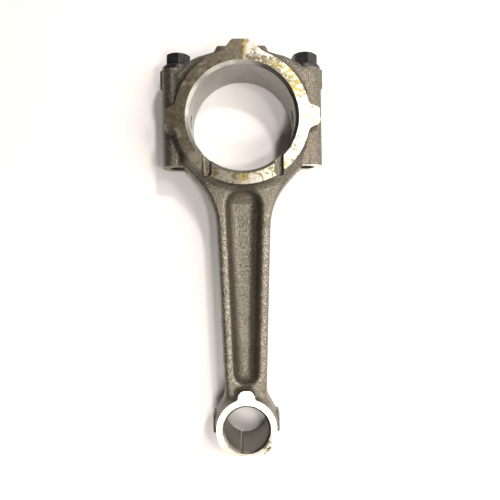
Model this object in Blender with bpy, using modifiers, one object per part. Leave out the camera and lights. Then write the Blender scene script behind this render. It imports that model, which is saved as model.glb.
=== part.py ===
"""Connecting rod of a small diesel engine, with its cap bolted on.

It lies flat: the bores stand along Z, the rod runs along Y with the cap at +Y, and the
machined side faces of the lower side rest on Z = 0. Each forging is symmetric about its
parting plane at half the thickness. Shapes are drawn in the rod's own frame, with the
centre of the big-end bore on the parting plane at the origin, and every object hangs on
one empty that puts that frame in the world. Sizes are in metres.
"""

import math

import bmesh
import bpy
from mathutils import Matrix

# ---------------------------------------------------------------- driving dimensions

THICKNESS = 0.036  # over the machined side faces, the same at both ends
CENTRES = 0.183  # big-end bore to small-end bore
GAP = 0.0003  # between pieces that touch

BIG_BORE_R = 0.0315
BIG_CHAMFER = 0.00195
BIG_RING_R = 0.0398  # outer edge of the big end's machined face
RING_FILLET = 0.0055

SMALL_RING_R = 0.0182  # outer edge of the small end's machined face
EYE_R = 0.0197  # small end at the parting plane
BUSH_OUTER_R = 0.0149
BUSH_INNER_R = 0.0130
BUSH_CHAMFER = 0.0005
BUSH_INSET = 0.0002  # the bush stands back this far from each face

BOLT_X = 0.0391  # bolt axis from the rod's centre line
BOSS_HALF_WIDTH = 0.0097
BOSS_HALF_DEPTH = 0.0101
BOSS_ROUND = 0.0070
SEAT_Y = 0.0318  # bolt seat on the cap
SHOULDER_Y = -0.0272  # machined underside of the rod's bolt boss
FACING_R = 0.0062  # of the facing cut round the bolt's hole in it

BEAM_HALF_DEPTH = 0.0120  # I-beam over its flanges
WEB_HALF_DEPTH = 0.0033
BEAM_HALF_WIDTH_TOP = 0.0165  # at BEAM_TOP_Y
BEAM_HALF_WIDTH_FOOT = 0.0126  # at BEAM_FOOT_Y
BEAM_TOP_Y = -0.0550
BEAM_FOOT_Y = -0.1620
POCKET_HALF_WIDTH_TOP = 0.0113
POCKET_HALF_WIDTH_FOOT = 0.0072
POCKET_TOP_Y = -0.0418
POCKET_FOOT_Y = -0.1568
POCKET_FILLET = 0.0045
BED_TOP_Y = -0.0525  # where the web starts to rise towards each end of the hollow
BED_FOOT_Y = -0.1485
BED_RISE = 0.0120  # height gained is the square of the run over this

CROWN_TOP_Y = 0.0462  # highest point of the cap
CROWN_HALF_WIDTH = 0.0151
CAP_HALF_DEPTH = 0.0105

HEAD_ACROSS_FLATS = 0.0141
HEAD_HEIGHT = 0.0107
FLANGE_R = 0.0098
BOLT_R = 0.0050
THREAD_R = 0.0047
BOLT_TIP_Y = -0.0250
DOWEL_INNER_R = 0.0053
DOWEL_OUTER_R = 0.0067
DOWEL_HALF_LENGTH = 0.0060

DRAFT = math.tan(math.radians(5))
LOBE_DRAFT = math.tan(math.radians(1.7))  # of the lobe on the crown
HALF = THICKNESS / 2
BAND = 0.0006  # half height of the trimmed band at the parting plane
OVER = 0.0020  # how far a cutter passes what it cuts
ARC_STEP = math.radians(15)
RING_STEPS = 80
SMALL_STEPS = 48
HOLE_STEPS = 32

# The object's box is centred on the origin, so the big end lies this far up Y.
BIG_END_Y = (CENTRES + EYE_R - CROWN_TOP_Y) / 2


# ---------------------------------------------------------------- scene and materials


def clear_scene():
    for obj in list(bpy.data.objects):
        bpy.data.objects.remove(obj, do_unlink=True)


def add_collection(name, hidden=False):
    collection = bpy.data.collections.new(name)
    bpy.context.scene.collection.children.link(collection)
    collection.hide_render = hidden
    return collection


def metal(name, colour, roughness, metallic):
    material = bpy.data.materials.new(name)
    material.use_nodes = True
    shader = material.node_tree.nodes["Principled BSDF"]
    shader.inputs["Base Color"].default_value = (*colour, 1.0)
    shader.inputs["Roughness"].default_value = roughness
    shader.inputs["Metallic"].default_value = metallic
    material.diffuse_color = (*colour, 1.0)
    return material


# ---------------------------------------------------------------- outlines


def mirrored(half):
    """A closed outline from its right half, listed from the top down as (x, y, radius)."""
    return [(-x, y, r) for x, y, r in half] + list(reversed(half))


def inset_corners(corners, inset):
    """The corners with every edge moved inwards, each radius changed to suit."""
    count = len(corners)
    moved = []
    for i, (x, y, radius) in enumerate(corners):
        before, after = corners[i - 1], corners[(i + 1) % count]
        ax, ay = x - before[0], y - before[1]
        bx, by = after[0] - x, after[1] - y
        a_len, b_len = math.hypot(ax, ay), math.hypot(bx, by)
        ax, ay, bx, by = ax / a_len, ay / a_len, bx / b_len, by / b_len
        turn = ax * by - ay * bx
        along = (1 + ax * bx + ay * by) or 1e-9
        shift_x = (-ay - by) / along
        shift_y = (ax + bx) / along
        new_radius = max(radius - inset, 0.0002) if turn > 0 else radius + inset
        moved.append((x + inset * shift_x, y + inset * shift_y, new_radius if radius else 0))
    return moved


def outline_points(corners, inset=0.0):
    """Points along the outline: straight edges, and an arc at each corner with a radius.

    Corners run anticlockwise. An inset outline has as many points as the first one, so
    outlines at several heights join up into a loft.
    """
    points = []
    for i, (x, y, radius) in enumerate(inset_corners(corners, inset)):
        first, last = corners[i - 1], corners[(i + 1) % len(corners)]
        angle_in = math.atan2(corners[i][1] - first[1], corners[i][0] - first[0])
        angle_out = math.atan2(last[1] - corners[i][1], last[0] - corners[i][0])
        turn = (angle_out - angle_in + math.pi) % (2 * math.pi) - math.pi
        if not radius:
            points.append((x, y))
            continue
        steps = max(2, round(abs(turn) / ARC_STEP))
        reach = radius * math.tan(abs(turn) / 2)
        side = math.copysign(1, turn)
        centre_x = x - reach * math.cos(angle_in) - side * radius * math.sin(angle_in)
        centre_y = y - reach * math.sin(angle_in) + side * radius * math.cos(angle_in)
        for k in range(steps + 1):
            angle = angle_in + turn * k / steps - side * math.pi / 2
            points.append((centre_x + radius * math.cos(angle), centre_y + radius * math.sin(angle)))
    return points


def rounded_levels(half_depth, edge_round, draft=DRAFT, steps=3):
    """(height, inset) from the parting band up to half_depth: drafted, then rounded over."""
    shoulder = half_depth - edge_round
    lean = (shoulder - BAND) * draft
    levels = [(BAND, 0.0)]
    for k in range(steps + 1):
        angle = math.pi / 2 * k / steps
        height = shoulder + edge_round * math.sin(angle)
        levels.append((height, lean + edge_round * (1 - math.cos(angle))))
    return levels


def both_sides(levels):
    return [(-height, inset) for height, inset in reversed(levels)] + levels


# ---------------------------------------------------------------- solids


def mesh_object(name, points, faces, collection):
    mesh = bpy.data.meshes.new(name)
    mesh.from_pydata(points, [], faces)
    shape = bmesh.new()
    shape.from_mesh(mesh)
    bmesh.ops.recalc_face_normals(shape, faces=shape.faces)
    shape.to_mesh(mesh)
    shape.free()
    obj = bpy.data.objects.new(name, mesh)
    collection.objects.link(obj)
    return obj


def loft(name, corners, levels, collection, along="Z"):
    """A solid through the outline inset at each (height, inset) level along Z or Y."""
    layers = [(height, outline_points(corners, inset)) for height, inset in levels]
    return stacked(name, layers, collection, along)


def stacked(name, layers, collection, along="Z"):
    """A solid through (height, outline) layers whose outlines have as many points each."""
    points = []
    for height, outline in layers:
        for u, v in outline:
            points.append((u, v, height) if along == "Z" else (u, height, v))
    count = len(points) // len(layers)
    faces = [tuple(range(count)), tuple(range(len(points) - count, len(points)))]
    for level in range(len(layers) - 1):
        for i in range(count):
            a, b = level * count + i, level * count + (i + 1) % count
            faces.append((a, b, b + count, a + count))
    return mesh_object(name, points, faces, collection)


def turned(name, profile, collection, steps, along="Z"):
    """A solid turned round Z, or round Y, from (radius, height) points, top to bottom."""
    mesh = bpy.data.meshes.new(name)
    if along == "Z":
        points = [(radius, 0.0, height) for radius, height in profile]
    else:
        points = [(radius, height, 0.0) for radius, height in profile]
    closed = profile[0][0] > 0
    edges = [(i, i + 1) for i in range(len(points) - 1)]
    if closed:
        edges.append((len(points) - 1, 0))
    mesh.from_pydata(points, edges, [])
    obj = bpy.data.objects.new(name, mesh)
    collection.objects.link(obj)
    screw = obj.modifiers.new("turn", "SCREW")
    screw.axis = along
    screw.steps = screw.render_steps = steps
    screw.use_merge_vertices = True
    screw.merge_threshold = 0.00001
    return obj


def block(name, low, high, collection):
    """A box between two corners."""
    shape = bmesh.new()
    bmesh.ops.create_cube(shape, size=1.0)
    for vertex in shape.verts:
        vertex.co = [low[i] + (vertex.co[i] + 0.5) * (high[i] - low[i]) for i in range(3)]
    mesh = bpy.data.meshes.new(name)
    shape.to_mesh(mesh)
    shape.free()
    obj = bpy.data.objects.new(name, mesh)
    collection.objects.link(obj)
    return obj


def across(obj, angle):
    """Turns a solid's mesh about Y, in place, for the copy on the other face."""
    obj.data.transform(Matrix.Rotation(angle, 4, "Y"))
    return obj


def combine(target, label, operation, others):
    """One Boolean of the target with all the others, which become hidden helpers."""
    group = bpy.data.collections.new(f"{target.name}_{label}")
    helpers.children.link(group)
    group.hide_render = True
    for other in others:
        for collection in list(other.users_collection):
            collection.objects.unlink(other)
        group.objects.link(other)
        other.hide_render = True
        other.display_type = "WIRE"
    boolean = target.modifiers.new(label, "BOOLEAN")
    boolean.operation = operation
    boolean.solver = "EXACT"
    boolean.operand_type = "COLLECTION"
    boolean.collection = group


def finish(obj, material):
    """Applies the piece's modifiers, then shades it and gives it its material."""
    bpy.context.view_layer.update()
    evaluated = obj.evaluated_get(bpy.context.evaluated_depsgraph_get())
    mesh = bpy.data.meshes.new_from_object(evaluated)
    obj.modifiers.clear()
    obj.data = mesh
    mesh.materials.clear()
    mesh.materials.append(material)
    mesh.shade_smooth()
    mesh.set_sharp_from_angle(angle=math.radians(30))


# ---------------------------------------------------------------- shapes of the big end


def ring_profile(face_r, foot, fillet):
    """Half section of a machined ring that stands on a plate with a concave fillet."""
    base_r = face_r + (HALF - foot - fillet) * DRAFT
    side = [(0.0, HALF), (face_r, HALF)]
    for k in range(5):
        angle = math.pi / 2 * k / 4
        side.append(
            (base_r + fillet * (1 - math.cos(angle)), foot + fillet * (1 - math.sin(angle)))
        )
    return side + [(radius, -height) for radius, height in reversed(side)]


def bore_profile(radius, chamfer):
    """Section of a bore cutter that breaks both edges at 45 degrees."""
    wide = radius + chamfer + OVER
    side = [(0.0, HALF + OVER), (wide, HALF + OVER), (radius, HALF - chamfer)]
    return side + [(r, -height) for r, height in reversed(side)]


def standing(name, corners, foot, collection, draft=DRAFT):
    """A post through both faces: the outline at the faces, wider with draft at its foot."""
    lean = (HALF - foot) * draft
    levels = [(-HALF, 0.0), (-foot, -lean), (foot, -lean), (HALF, 0.0)]
    return loft(name, corners, levels, collection)


def side_lobe(side, collection):
    """Lobe of the machined face over a bolt boss, split along its middle by the parting."""
    upper = [
        (0.0330, 0.0140, 0.0),
        (0.0373, 0.0130, 0.0),
        (0.0396, 0.0069, 0.0030),
        (0.0456, 0.0046, 0.0026),
    ]
    lower = [(x, -y, radius) for x, y, radius in reversed(upper)]
    right = list(reversed(upper + lower))
    if side < 0:
        right = [(-x, y, radius) for x, y, radius in reversed(right)]
    return standing("side_lobe", right, BOSS_HALF_DEPTH - 0.0015, collection)


def top_lobe(collection):
    half = [
        (0.0056, 0.0455, 0.0024),
        (0.0089, 0.0412, 0.0025),
        (0.0140, 0.0372, 0.0),
        (0.0140, 0.0300, 0.0),
    ]
    return standing("top_lobe", mirrored(half), CAP_HALF_DEPTH - 0.0015, collection, LOBE_DRAFT)


def boss(side, low, high, collection):
    """Bolt boss along Y: a rounded box between two heights, its inner side in the ring."""
    outer, inner, deep = BOLT_X + BOSS_HALF_WIDTH, 0.0260, BOSS_HALF_DEPTH
    corners = [
        (inner, deep, 0.0),
        (inner, -deep, 0.0),
        (outer, -deep, BOSS_ROUND),
        (outer, deep, BOSS_ROUND),
    ]
    if side < 0:
        corners = [(-x, z, radius) for x, z, radius in reversed(corners)]
    return loft("boss", corners, [(low, 0.0), (high, 0.0)], collection, along="Y")


def big_end(collection, low, high):
    """What the rod and the cap share: the ring, its side lobes and the bolt bosses."""
    ring = turned(
        "ring",
        ring_profile(BIG_RING_R, BOSS_HALF_DEPTH - 0.0006, RING_FILLET),
        collection,
        RING_STEPS,
    )
    lobes = [side_lobe(side, collection) for side in (-1, 1)]
    bosses = [boss(side, low, high, collection) for side in (-1, 1)]
    return [ring, *lobes, *bosses]


def bolt_hole(side, profile, collection):
    """A stepped hole on a bolt's axis, from (radius, y) points, top to bottom."""
    cutter = turned("bolt_hole", profile, collection, HOLE_STEPS, along="Y")
    cutter.location.x = side * BOLT_X
    return cutter


def tang_slot(side, low, high, collection):
    """The notch in the bore wall that a bearing shell's tang sits in."""
    near, far = BIG_BORE_R - 0.0040, BIG_BORE_R + 0.0016
    start, end = sorted((side * near, side * far))
    return block("tang_slot", (start, low, -0.0004), (end, high, 0.0036), collection)


# ---------------------------------------------------------------- rod body


def beam_width(y):
    share = (y - BEAM_TOP_Y) / (BEAM_FOOT_Y - BEAM_TOP_Y)
    return BEAM_HALF_WIDTH_TOP + share * (BEAM_HALF_WIDTH_FOOT - BEAM_HALF_WIDTH_TOP)


def beam_corners():
    """Outline of the shank from inside the big end, through its flare, to the eye."""
    flare_y, neck_y = -0.0490, -0.1656
    half = [
        (0.0372, -0.0200, 0.0),
        (0.0372, -0.0264, 0.0),
        (beam_width(flare_y) + 0.0001, flare_y, 0.0430),
        (beam_width(neck_y), neck_y, 0.0100),
        (0.0182, -CENTRES + 0.0076, 0.0),
        (0.0150, -CENTRES - 0.0020, 0.0),
    ]
    return mirrored(half)


def pocket_corners(depth, inset):
    """Outline of the I-beam's hollow so far below the flanges' face, inset along its sides."""
    rise = math.sqrt(max(BEAM_HALF_DEPTH - depth - WEB_HALF_DEPTH, 0) * BED_RISE)
    top_y = min(BED_TOP_Y + rise, POCKET_TOP_Y - depth * DRAFT)
    foot_y = max(BED_FOOT_Y - rise, POCKET_FOOT_Y + depth * DRAFT)
    top, foot = POCKET_HALF_WIDTH_TOP - inset, POCKET_HALF_WIDTH_FOOT - inset
    half = [
        (top, top_y, min(0.0095, top - 0.0003)),
        (foot, foot_y, min(0.0068, foot - 0.0003)),
    ]
    return mirrored(half)


def pocket(side, collection):
    """Cutter for one side's hollow: the web, a fillet, then the drafted flange and its ends."""
    layers = []
    for k in range(4):
        angle = math.pi / 2 * k / 3
        height = WEB_HALF_DEPTH + POCKET_FILLET * (1 - math.cos(angle))
        depth = BEAM_HALF_DEPTH - height
        wall = BEAM_HALF_DEPTH - WEB_HALF_DEPTH - POCKET_FILLET
        inset = wall * DRAFT + POCKET_FILLET * (1 - math.sin(angle))
        layers.append((height, outline_points(pocket_corners(depth, inset))))
    for height in (0.0100, BEAM_HALF_DEPTH + OVER):
        depth = BEAM_HALF_DEPTH - height
        layers.append((height, outline_points(pocket_corners(depth, depth * DRAFT))))
    hollow = stacked("pocket", layers, collection)
    return hollow if side > 0 else across(hollow, math.pi)


def face_slot(x, side, collection):
    """Forged slot across the lower half of the ring, along Y, in one machined face."""
    half_width, deep = 0.00265, HALF - 0.0038
    corners = [
        (x - half_width, HALF + OVER, 0.0),
        (x - half_width, deep, 0.0012),
        (x + half_width, deep, 0.0012),
        (x + half_width, HALF + OVER, 0.0),
    ]
    slot = loft("face_slot", corners, [(-0.0390, 0.0), (-0.0180, 0.0)], collection, along="Y")
    return slot if side > 0 else across(slot, math.pi)


def small_end(collection):
    """The eye, its lobe towards the shank, and the locating pads on its flanks."""
    lean = EYE_R - SMALL_RING_R
    half = [(0.0, HALF), (SMALL_RING_R, HALF), (EYE_R - lean * 0.03, BAND), (EYE_R, BAND)]
    profile = half + [(radius, -height) for radius, height in reversed(half)]
    eye = turned("eye", profile, collection, SMALL_STEPS)
    eye.location.y = -CENTRES
    lobe_half = [
        (0.0030, 0.0224, 0.0029),
        (0.0047, 0.0194, 0.0026),
        (0.0049, 0.0150, 0.0),
        (0.0049, 0.0100, 0.0),
    ]
    lobe = standing("eye_lobe", mirrored(lobe_half), BEAM_HALF_DEPTH - 0.0015, collection)
    lobe.location.y = -CENTRES
    pads = []
    for side in (-1, 1):
        low, high = sorted((side * 0.0170, side * (EYE_R + 0.0006)))
        pads.append(
            block(
                "eye_pad",
                (low, -CENTRES - 0.0059, -0.0050),
                (high, -CENTRES + 0.0059, 0.0050),
                collection,
            )
        )
    return [eye, lobe, *pads]


def foot_fillet(name, face_r, centre_y, foot, fillet, steps, collection):
    """Fillet between a ring and the shank: a turned foot, kept inside the shank's outline."""
    fillet_ring = turned(name, ring_profile(face_r, foot, fillet), collection, steps)
    fillet_ring.location.y = centre_y
    levels = [(BAND, 0.00002), (HALF - 0.0005, (HALF - BAND) * DRAFT)]
    envelope = loft(f"{name}_limit", beam_corners(), both_sides(levels), collection)
    combine(fillet_ring, "within", "INTERSECT", [envelope])
    return fillet_ring


def build_rod_body():
    body = loft(
        "rod_body", beam_corners(), both_sides(rounded_levels(BEAM_HALF_DEPTH, 0.0025)), parts
    )
    added = [
        *big_end(parts, SHOULDER_Y, OVER),
        *small_end(parts),
        foot_fillet("big_foot", BIG_RING_R, 0.0, BEAM_HALF_DEPTH - 0.0002, 0.0050, 64, parts),
        foot_fillet(
            "small_foot", SMALL_RING_R, -CENTRES, BEAM_HALF_DEPTH - 0.0002, 0.0040, 40, parts
        ),
    ]
    combine(body, "added", "UNION", added)
    hole = [
        (0.0, OVER),
        (DOWEL_OUTER_R + GAP, OVER),
        (DOWEL_OUTER_R + GAP, -DOWEL_HALF_LENGTH - GAP),
        (THREAD_R + GAP, -DOWEL_HALF_LENGTH - GAP),
        (THREAD_R + GAP, SHOULDER_Y + 0.0008),
        (THREAD_R + GAP + 0.0008 + OVER, SHOULDER_Y - OVER),
        (0.0, SHOULDER_Y - OVER),
    ]
    wide, deep = 0.0560, HALF + OVER
    removed = [
        block("above_split", (-wide, -GAP / 2, -deep), (wide, 0.0500, deep), parts),
        turned("big_bore", bore_profile(BIG_BORE_R, BIG_CHAMFER), parts, RING_STEPS),
        turned("eye_bore", bore_profile(BUSH_OUTER_R + GAP, -OVER), parts, SMALL_STEPS),
        tang_slot(-1, -0.0030, OVER, parts),
    ]
    removed[2].location.y = -CENTRES
    for side in (-1, 1):
        removed.append(bolt_hole(side, hole, parts))
        removed.append(pocket(side, parts))
        facing = [(0.0, SHOULDER_Y), (FACING_R, SHOULDER_Y), (FACING_R, -0.0400), (0.0, -0.0400)]
        removed.append(bolt_hole(side, facing, parts))
        for face in (-1, 1):
            removed.append(face_slot(side * 0.0212, face, parts))
    combine(body, "removed", "DIFFERENCE", removed)
    finish(body, forged_steel)


# ---------------------------------------------------------------- cap


def cap_corners():
    """Outline of the cap's web from the split up over the shoulders and the crown."""
    half = [
        (CROWN_HALF_WIDTH, CROWN_TOP_Y, 0.0018),
        (0.0170, 0.0422, 0.0018),
        (0.0264, 0.0396, 0.0080),
        (0.0332, 0.0362, 0.0040),
        (0.0378, 0.0318, 0.0),
        (0.0410, 0.0290, 0.0),
        (0.0410, -OVER, 0.0),
    ]
    return mirrored(half)


def cap_pad(side, collection):
    low, high = sorted((side * 0.0470, side * (BOLT_X + BOSS_HALF_WIDTH + 0.0011)))
    return block("cap_pad", (low, 0.0205, -0.0045), (high, SEAT_Y, 0.0045), collection)


def build_rod_cap():
    cap = loft("rod_cap", cap_corners(), both_sides(rounded_levels(CAP_HALF_DEPTH, 0.0020)), parts)
    added = [*big_end(parts, -OVER, SEAT_Y), top_lobe(parts)]
    added += [cap_pad(side, parts) for side in (-1, 1)]
    combine(cap, "added", "UNION", added)
    hole = [
        (0.0, SEAT_Y + OVER),
        (BOLT_R + GAP + 0.0006 + OVER, SEAT_Y + OVER),
        (BOLT_R + GAP, SEAT_Y - 0.0006),
        (BOLT_R + GAP, DOWEL_HALF_LENGTH + GAP),
        (DOWEL_OUTER_R + GAP, DOWEL_HALF_LENGTH + GAP),
        (DOWEL_OUTER_R + GAP, -OVER),
        (0.0, -OVER),
    ]
    spot_r = FLANGE_R + 0.0004
    spot = [(0.0, 0.0500), (spot_r, 0.0500), (spot_r, SEAT_Y), (0.0, SEAT_Y)]
    wide, deep = 0.0560, HALF + OVER
    removed = [
        block("below_split", (-wide, -0.0500, -deep), (wide, GAP / 2, deep), parts),
        turned("big_bore", bore_profile(BIG_BORE_R, BIG_CHAMFER), parts, RING_STEPS),
        tang_slot(-1, -OVER, 0.0050, parts),
        tang_slot(1, -OVER, 0.0075, parts),
    ]
    for side in (-1, 1):
        removed.append(bolt_hole(side, hole, parts))
        removed.append(bolt_hole(side, spot, parts))
    combine(cap, "removed", "DIFFERENCE", removed)
    finish(cap, forged_steel)


# ---------------------------------------------------------------- bolts, dowels, bush


def build_bolt(name, side, turn):
    """Hexagon flange bolt, its origin on its axis at the seat; the thread is left plain."""
    seat = GAP
    profile = [
        (0.0, 0.0036),
        (0.0080, 0.0036),
        (FLANGE_R - 0.0004, 0.0030),
        (FLANGE_R, 0.0026),
        (FLANGE_R, seat),
        (BOLT_R, seat),
        (BOLT_R, -0.0165),
        (THREAD_R, -0.0170),
        (THREAD_R, BOLT_TIP_Y - SEAT_Y + 0.0010),
        (THREAD_R - 0.0010, BOLT_TIP_Y - SEAT_Y),
        (0.0, BOLT_TIP_Y - SEAT_Y),
    ]
    bolt = turned(name, profile, parts, HOLE_STEPS, along="Y")
    corner_r = HEAD_ACROSS_FLATS / math.sqrt(3)
    shape = bmesh.new()
    low, high = 0.0022, HEAD_HEIGHT
    bmesh.ops.create_cone(
        shape, cap_ends=True, segments=6, radius1=corner_r, radius2=corner_r, depth=high - low
    )
    mesh = bpy.data.meshes.new("hexagon")
    shape.to_mesh(mesh)
    shape.free()
    upright = Matrix.Translation((0, (low + high) / 2, 0)) @ Matrix.Rotation(turn, 4, "Y")
    mesh.transform(upright @ Matrix.Rotation(math.pi / 2, 4, "X"))
    hexagon = bpy.data.objects.new("hexagon", mesh)
    parts.objects.link(hexagon)
    dome = [
        (0.0, high),
        (0.0060, high),
        (0.0072, high - 0.0006),
        (0.0086, high - 0.0020),
        (0.0086, low - OVER),
        (0.0, low - OVER),
    ]
    limit = turned("head_dome", dome, parts, HOLE_STEPS, along="Y")
    for piece in (bolt, hexagon, limit):
        piece.location = (side * BOLT_X, SEAT_Y, 0.0)
    combine(hexagon, "domed", "INTERSECT", [limit])
    combine(bolt, "head", "UNION", [hexagon])
    finish(bolt, black_oxide)


def build_dowel(name, side):
    inner, outer, long, edge = DOWEL_INNER_R, DOWEL_OUTER_R, DOWEL_HALF_LENGTH, 0.0005
    profile = [
        (inner, long),
        (outer - edge, long),
        (outer, long - edge),
        (outer, edge - long),
        (outer - edge, -long),
        (inner, -long),
    ]
    dowel = turned(name, profile, parts, HOLE_STEPS, along="Y")
    dowel.location.x = side * BOLT_X
    finish(dowel, ground_steel)


def build_bush():
    inner, outer, edge = BUSH_INNER_R, BUSH_OUTER_R, BUSH_CHAMFER
    long = HALF - BUSH_INSET
    profile = [
        (inner, long - edge),
        (inner + edge, long),
        (outer, long),
        (outer, -long),
        (inner + edge, -long),
        (inner, edge - long),
    ]
    bush = turned("small_end_bush", profile, parts, SMALL_STEPS)
    bush.location.y = -CENTRES
    finish(bush, bush_metal)


# ---------------------------------------------------------------- the object

clear_scene()
parts = add_collection("connecting_rod")
helpers = add_collection("cutters", hidden=True)

forged_steel = metal("forged_steel", (0.20, 0.18, 0.14), 0.55, 0.85)
black_oxide = metal("black_oxide", (0.03, 0.03, 0.035), 0.40, 0.70)
ground_steel = metal("ground_steel", (0.55, 0.55, 0.53), 0.25, 1.0)
bush_metal = metal("bush_metal", (0.30, 0.28, 0.25), 0.30, 1.0)

build_rod_body()
build_rod_cap()
build_bolt("cap_bolt_left", -1, math.radians(11))
build_bolt("cap_bolt_right", 1, math.radians(12.5))
build_dowel("cap_dowel_left", -1)
build_dowel("cap_dowel_right", 1)
build_bush()

rod_frame = bpy.data.objects.new("rod_frame", None)
parts.objects.link(rod_frame)
rod_frame.location = (0.0, BIG_END_Y, HALF)
for piece in list(parts.all_objects) + list(helpers.all_objects):
    if piece is not rod_frame:
        piece.parent = rod_frame
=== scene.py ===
"""The connecting rod's looks: forgings, bolts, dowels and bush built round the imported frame.

The two forgings are distance fields, so that their fillets, draft and edge rounding flow
into each other as die-forged steel does. Each field becomes a mesh, and the machined
faces, bores and seats are then cut from it, so that every machined edge follows the raw
surface. Shapes are worked out in millimetres in the rod's own frame: the centre of the
big-end bore on the parting plane is the origin, and +Y runs towards the cap.
"""

import itertools
import math

import bmesh
import bpy
import numpy as np
from mathutils import Matrix, Vector


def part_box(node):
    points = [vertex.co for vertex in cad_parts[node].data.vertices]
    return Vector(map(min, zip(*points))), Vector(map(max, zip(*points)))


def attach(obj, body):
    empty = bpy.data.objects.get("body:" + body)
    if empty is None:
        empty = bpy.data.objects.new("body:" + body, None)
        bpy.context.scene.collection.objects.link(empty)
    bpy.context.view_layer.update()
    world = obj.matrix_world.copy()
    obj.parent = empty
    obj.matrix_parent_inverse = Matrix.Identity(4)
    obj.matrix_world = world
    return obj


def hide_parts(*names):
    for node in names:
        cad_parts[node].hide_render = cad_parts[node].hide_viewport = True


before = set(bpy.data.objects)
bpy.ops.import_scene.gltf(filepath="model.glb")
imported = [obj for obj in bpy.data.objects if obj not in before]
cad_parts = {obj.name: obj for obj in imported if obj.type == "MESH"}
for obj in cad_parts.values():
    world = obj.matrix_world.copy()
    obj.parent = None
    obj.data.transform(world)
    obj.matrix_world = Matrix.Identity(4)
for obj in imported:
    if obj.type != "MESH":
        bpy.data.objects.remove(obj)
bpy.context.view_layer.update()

# ------------------------------------------------------------ places read from the frame

MM = 0.001


def span(node):
    """Lowest and highest corner of a CAD node, in millimetres."""
    low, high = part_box(node)
    return Vector(low) / MM, Vector(high) / MM


body_low, body_high = span("rod_body")
cap_low, cap_high = span("rod_cap")
bolt_low, bolt_high = span("cap_bolt_right")
bush_low, bush_high = span("small_end_bush")
dowel_low, dowel_high = span("cap_dowel_right")

# How far a dressed surface stays inside the CAD box
FORGED_INSET = 0.05
HEAD_INSET = 0.03
FLANGE_INSET = 0.02

HALF = (body_high.z - body_low.z) / 2
MID_Z = (body_high.z + body_low.z) / 2
SPLIT_Y = (cap_low.y + body_high.y) / 2
CENTRES = SPLIT_Y - (bush_low.y + bush_high.y) / 2
EYE_R = SPLIT_Y - CENTRES - body_low.y - FORGED_INSET
CROWN_TOP = cap_high.y - SPLIT_Y - FORGED_INSET
BOLT_X = (bolt_low.x + bolt_high.x) / 2
HEAD_TOP = bolt_high.y - SPLIT_Y - HEAD_INSET
BOLT_TIP = bolt_low.y - SPLIT_Y
FLANGE_R = (bolt_high.x - bolt_low.x) / 2 - FLANGE_INSET
BUSH_OUTER_R = (bush_high.x - bush_low.x) / 2
BUSH_HALF = (bush_high.z - bush_low.z) / 2
DOWEL_R = (dowel_high.x - dowel_low.x) / 2
DOWEL_HALF = (dowel_high.y - dowel_low.y) / 2

# ------------------------------------------------------------ driving dimensions, in mm

# The big end
BIG_BORE_R = 31.5
BIG_CHAMFER = 1.95
BIG_RING_R = 39.8
RING_FILLET = 5.5
LOBE_FILLET = 2.0
SLOT_X = 21.2
SLOT_HALF_WIDTH = 2.8
SLOT_DEPTH = 5.6
SLOT_ENDS_Y = (-34.4, -16.0)
SLOT_ROUND = 1.2
SLOT_MOUTH_ROUND = 0.4
TANG_SLOT_DEPTH = 1.6
TANG_SLOT_Z = (-0.4, 3.6)
TANG_SLOT_LEFT_Y = (-3.0, 5.0)
TANG_SLOT_RIGHT_TOP = 7.5

# The bosses for the bolts
BOSS_INNER_X = 33.0
BOSS_OUTER_X = 48.8
BOSS_HALF_DEPTH = 10.1
BOSS_ROUND = 7.0
BOSS_FILLET = 3.0
SEAT_Y = 31.8
SPOT_FACE_R = FLANGE_R + 0.4
SHOULDER_X = 36.0
SHOULDER_Y = -27.2
SHOULDER_FACE_R = 6.2

# The shank
BEAM_HALF_DEPTH = 12.0
BEAM_EDGE = 2.6
NECK_FILLET = 6.5
WEB_HALF_DEPTH = 3.3
POCKET_FILLET = 5.5
POCKET_EDGE = 2.3
POCKET_DRAFT = math.tan(math.radians(22))
RAMP_SLOPE = 0.8
RAMP_EASE = 1.5

# The small end
SMALL_RING_R = 17.7
EYE_FILLET = 4.0
EYE_LOBE_FILLET = 1.4
BUSH_INNER_R = 13.0
BUSH_CHAMFER = 1.3
BUSH_SEAM_ANGLE = math.radians(-102)
BUSH_SEAT_CHAMFER = 0.3
PAD_FILLET = 0.8

# The cap and the bolts
CAP_HALF_DEPTH = 10.5
CAP_EDGE = 2.8
BOLT_R = 5.0
THREAD_PITCH = 1.25
THREAD_LENGTH = 26.0
THREAD_DEPTH = 0.67
HEAD_FLATS = 14.1

# How the forgings are made: draft, trimmed band at the parting plane, metal left on
DRAFT = math.tan(math.radians(5))
LOBE_DRAFT = math.tan(math.radians(1.7))
BAND = 0.6
ALLOWANCE = 1.6
FACE_ROUND = 0.3
SHOULDER_ALLOWANCE = 0.6
SPLIT_ALLOWANCE = 2.0

# Clearances
SPLIT_GAP = 0.05
DOWEL_GAP = 0.1
DOWEL_END_GAP = 0.3
BUSH_GAP = 0.05

# How far a cutter reaches: past the face that it cuts, and past the whole forging
CUT = 3.0
PAST_SPLIT = 20
PAST_SIDE = 60
PAST_FACE = 30
PAST_FOOT = -230

# The forgings' grids: height above the parting plane, and even steps
GRID_TOP = HALF + ALLOWANCE + 1.2
BODY_STEP = 0.6
CAP_STEP = 0.5

# How finely round cuts are made, and the angles in degrees from which an edge stays sharp
BORE_STEPS = 256
HEAD_STEPS = 128
HOLE_STEPS = 96
SHARP = 32
HEAD_SHARP = 28

# The finishes' places in a forging's material slots, after the forged skin
# The last finish is plain black, a painted shade for small cuts that lie in shadow
GROUND, BORED, PAINTED_SHADE = 1, 2, 3

# Keeps a division safe where both of its parts vanish
TINY = 1e-12


# ------------------------------------------------------------ fields


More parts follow.
